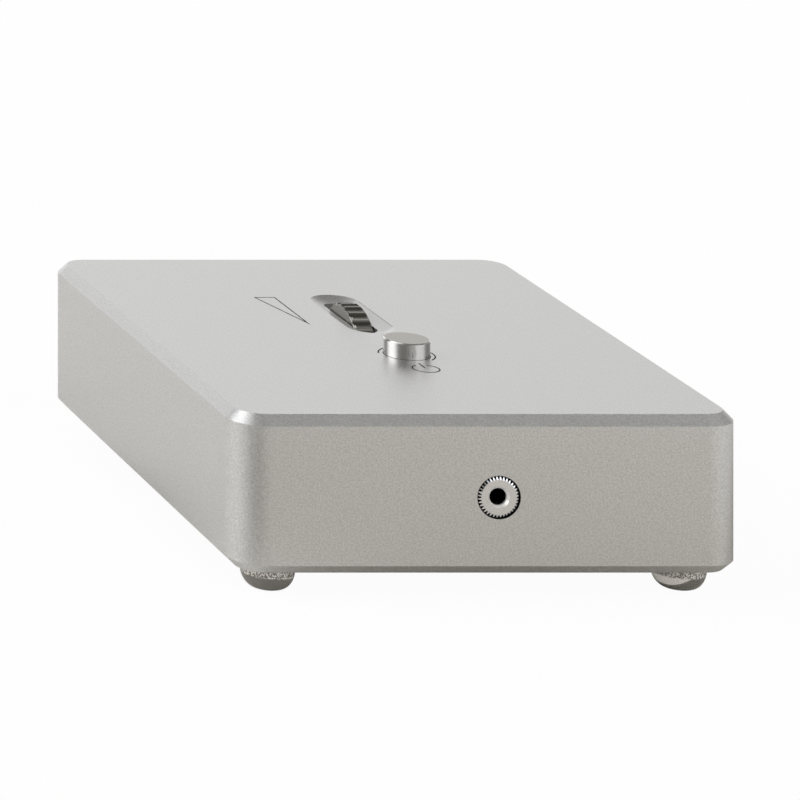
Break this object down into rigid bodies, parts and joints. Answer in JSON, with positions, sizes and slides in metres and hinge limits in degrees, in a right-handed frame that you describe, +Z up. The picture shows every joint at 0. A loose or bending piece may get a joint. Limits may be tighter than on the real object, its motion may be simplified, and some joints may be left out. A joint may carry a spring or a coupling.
{
  "type": "phono preamp",
  "caption": "Flat aluminium phono preamp on clear feet: thumb wheel and push button in the top, headphone socket in front, phono sockets, ground post and inlet behind.",
  "frame": {"origin": "on the resting surface, below the middle of the whole outline, rear sockets included", "axes": "+Z up, front face with the headphone socket towards -Y, sockets towards +Y, +X to the right seen from the front"},
  "size_m": [0.105, 0.136, 0.0416],
  "materials": {
    "anodised_aluminium": "bead blasted, clear anodised, fine matte grain",
    "painted_plate": "fine powder coat",
    "screw_steel": "zinc plated",
    "clear_bumper": "clear soft moulding, glossy",
    "board_laminate": "solder mask over glass laminate",
    "pillar_brass": "turned",
    "capacitor_sleeve": "shrunk sleeve",
    "film_box": "epoxy filled box",
    "black_moulding": "moulded, satin",
    "grey_moulding": "moulded, satin",
    "nickel_plate": "turned and nickel plated",
    "wheel_metal": "turned, ribbed rim, grey anodised",
    "turned_steel": "turned and polished side, satin top",
    "white_moulding": "moulded, satin",
    "gold_plate": "turned and gold plated"
  },
  "bodies": {
    "case": {"housing": "anodised_aluminium", "bottom_plate": "painted_plate", "bottom_screws": "screw_steel", "board_screws": "screw_steel", "power_spring": "screw_steel", "phono_nuts": "screw_steel", "ground_lock_nut": "screw_steel", "inlet_nut": "screw_steel", "foot_front_left": "clear_bumper", "foot_front_right": "clear_bumper", "foot_rear_left": "clear_bumper", "foot_rear_right": "clear_bumper", "main_board": "board_laminate", "volume_board": "board_laminate", "board_pillars": "pillar_brass", "electrolytic_capacitors": "capacitor_sleeve", "film_capacitors": "film_box", "amplifier_chips": "black_moulding", "voltage_regulators": "black_moulding", "headphone_body": "black_moulding", "power_switch": "black_moulding", "inlet_body": "black_moulding", "volume_control": "grey_moulding", "selector_body": "grey_moulding", "headphone_bush": "nickel_plate", "headphone_nut": "nickel_plate", "headphone_tags": "nickel_plate", "inlet_pin": "nickel_plate", "output_right_shell": "gold_plate", "output_right_contact": "gold_plate", "output_right_insulator": "white_moulding", "output_left_shell": "gold_plate", "output_left_contact": "gold_plate", "output_left_insulator": "white_moulding", "input_right_shell": "gold_plate", "input_right_contact": "gold_plate", "input_right_insulator": "white_moulding", "input_left_shell": "gold_plate", "input_left_contact": "gold_plate", "input_left_insulator": "white_moulding", "ground_post": "gold_plate"},
    "volume": {"volume_wheel": "wheel_metal", "volume_spindle": "nickel_plate", "volume_wheel_screw": "screw_steel"},
    "button": {"power_button": "turned_steel", "power_plunger": "white_moulding"},
    "ground_washer": {"ground_washer": "gold_plate"},
    "ground_nut": {"ground_thumb_nut": "gold_plate"},
    "selector": {"selector_slider": "black_moulding"}
  },
  "joints": [
    {"name": "volume_turn", "type": "hinge", "parent": "case", "child": "volume", "pos_m": [0, 0.0103, 0.0279], "axis": [1, 0, 0], "range_deg": [-150, 150]},
    {"name": "power_press", "type": "slide", "parent": "case", "child": "button", "axis": [0, 0, -1], "range_m": [0, 0.0016], "stiffness_N_per_m": 300, "springref_m": -0.002, "deforming": ["power_spring"]},
    {"name": "ground_washer_slide", "type": "slide", "parent": "case", "child": "ground_washer", "axis": [0, 1, 0], "range_m": [0, 0.0021]},
    {"name": "ground_nut_turn", "type": "hinge", "parent": "ground_washer", "child": "ground_nut", "pos_m": [0.01333, 0.06, 0.0217], "axis": [0, 1, 0], "range_deg": [0, 1080]},
    {"name": "selector_slide", "type": "slide", "parent": "case", "child": "selector", "axis": [1, 0, 0], "range_m": [0, 0.003]}
  ],
  "couplings": [
    {"joint": "ground_nut_turn", "follows": "ground_washer_slide", "rad_per_m": 8975.9}
  ]
}
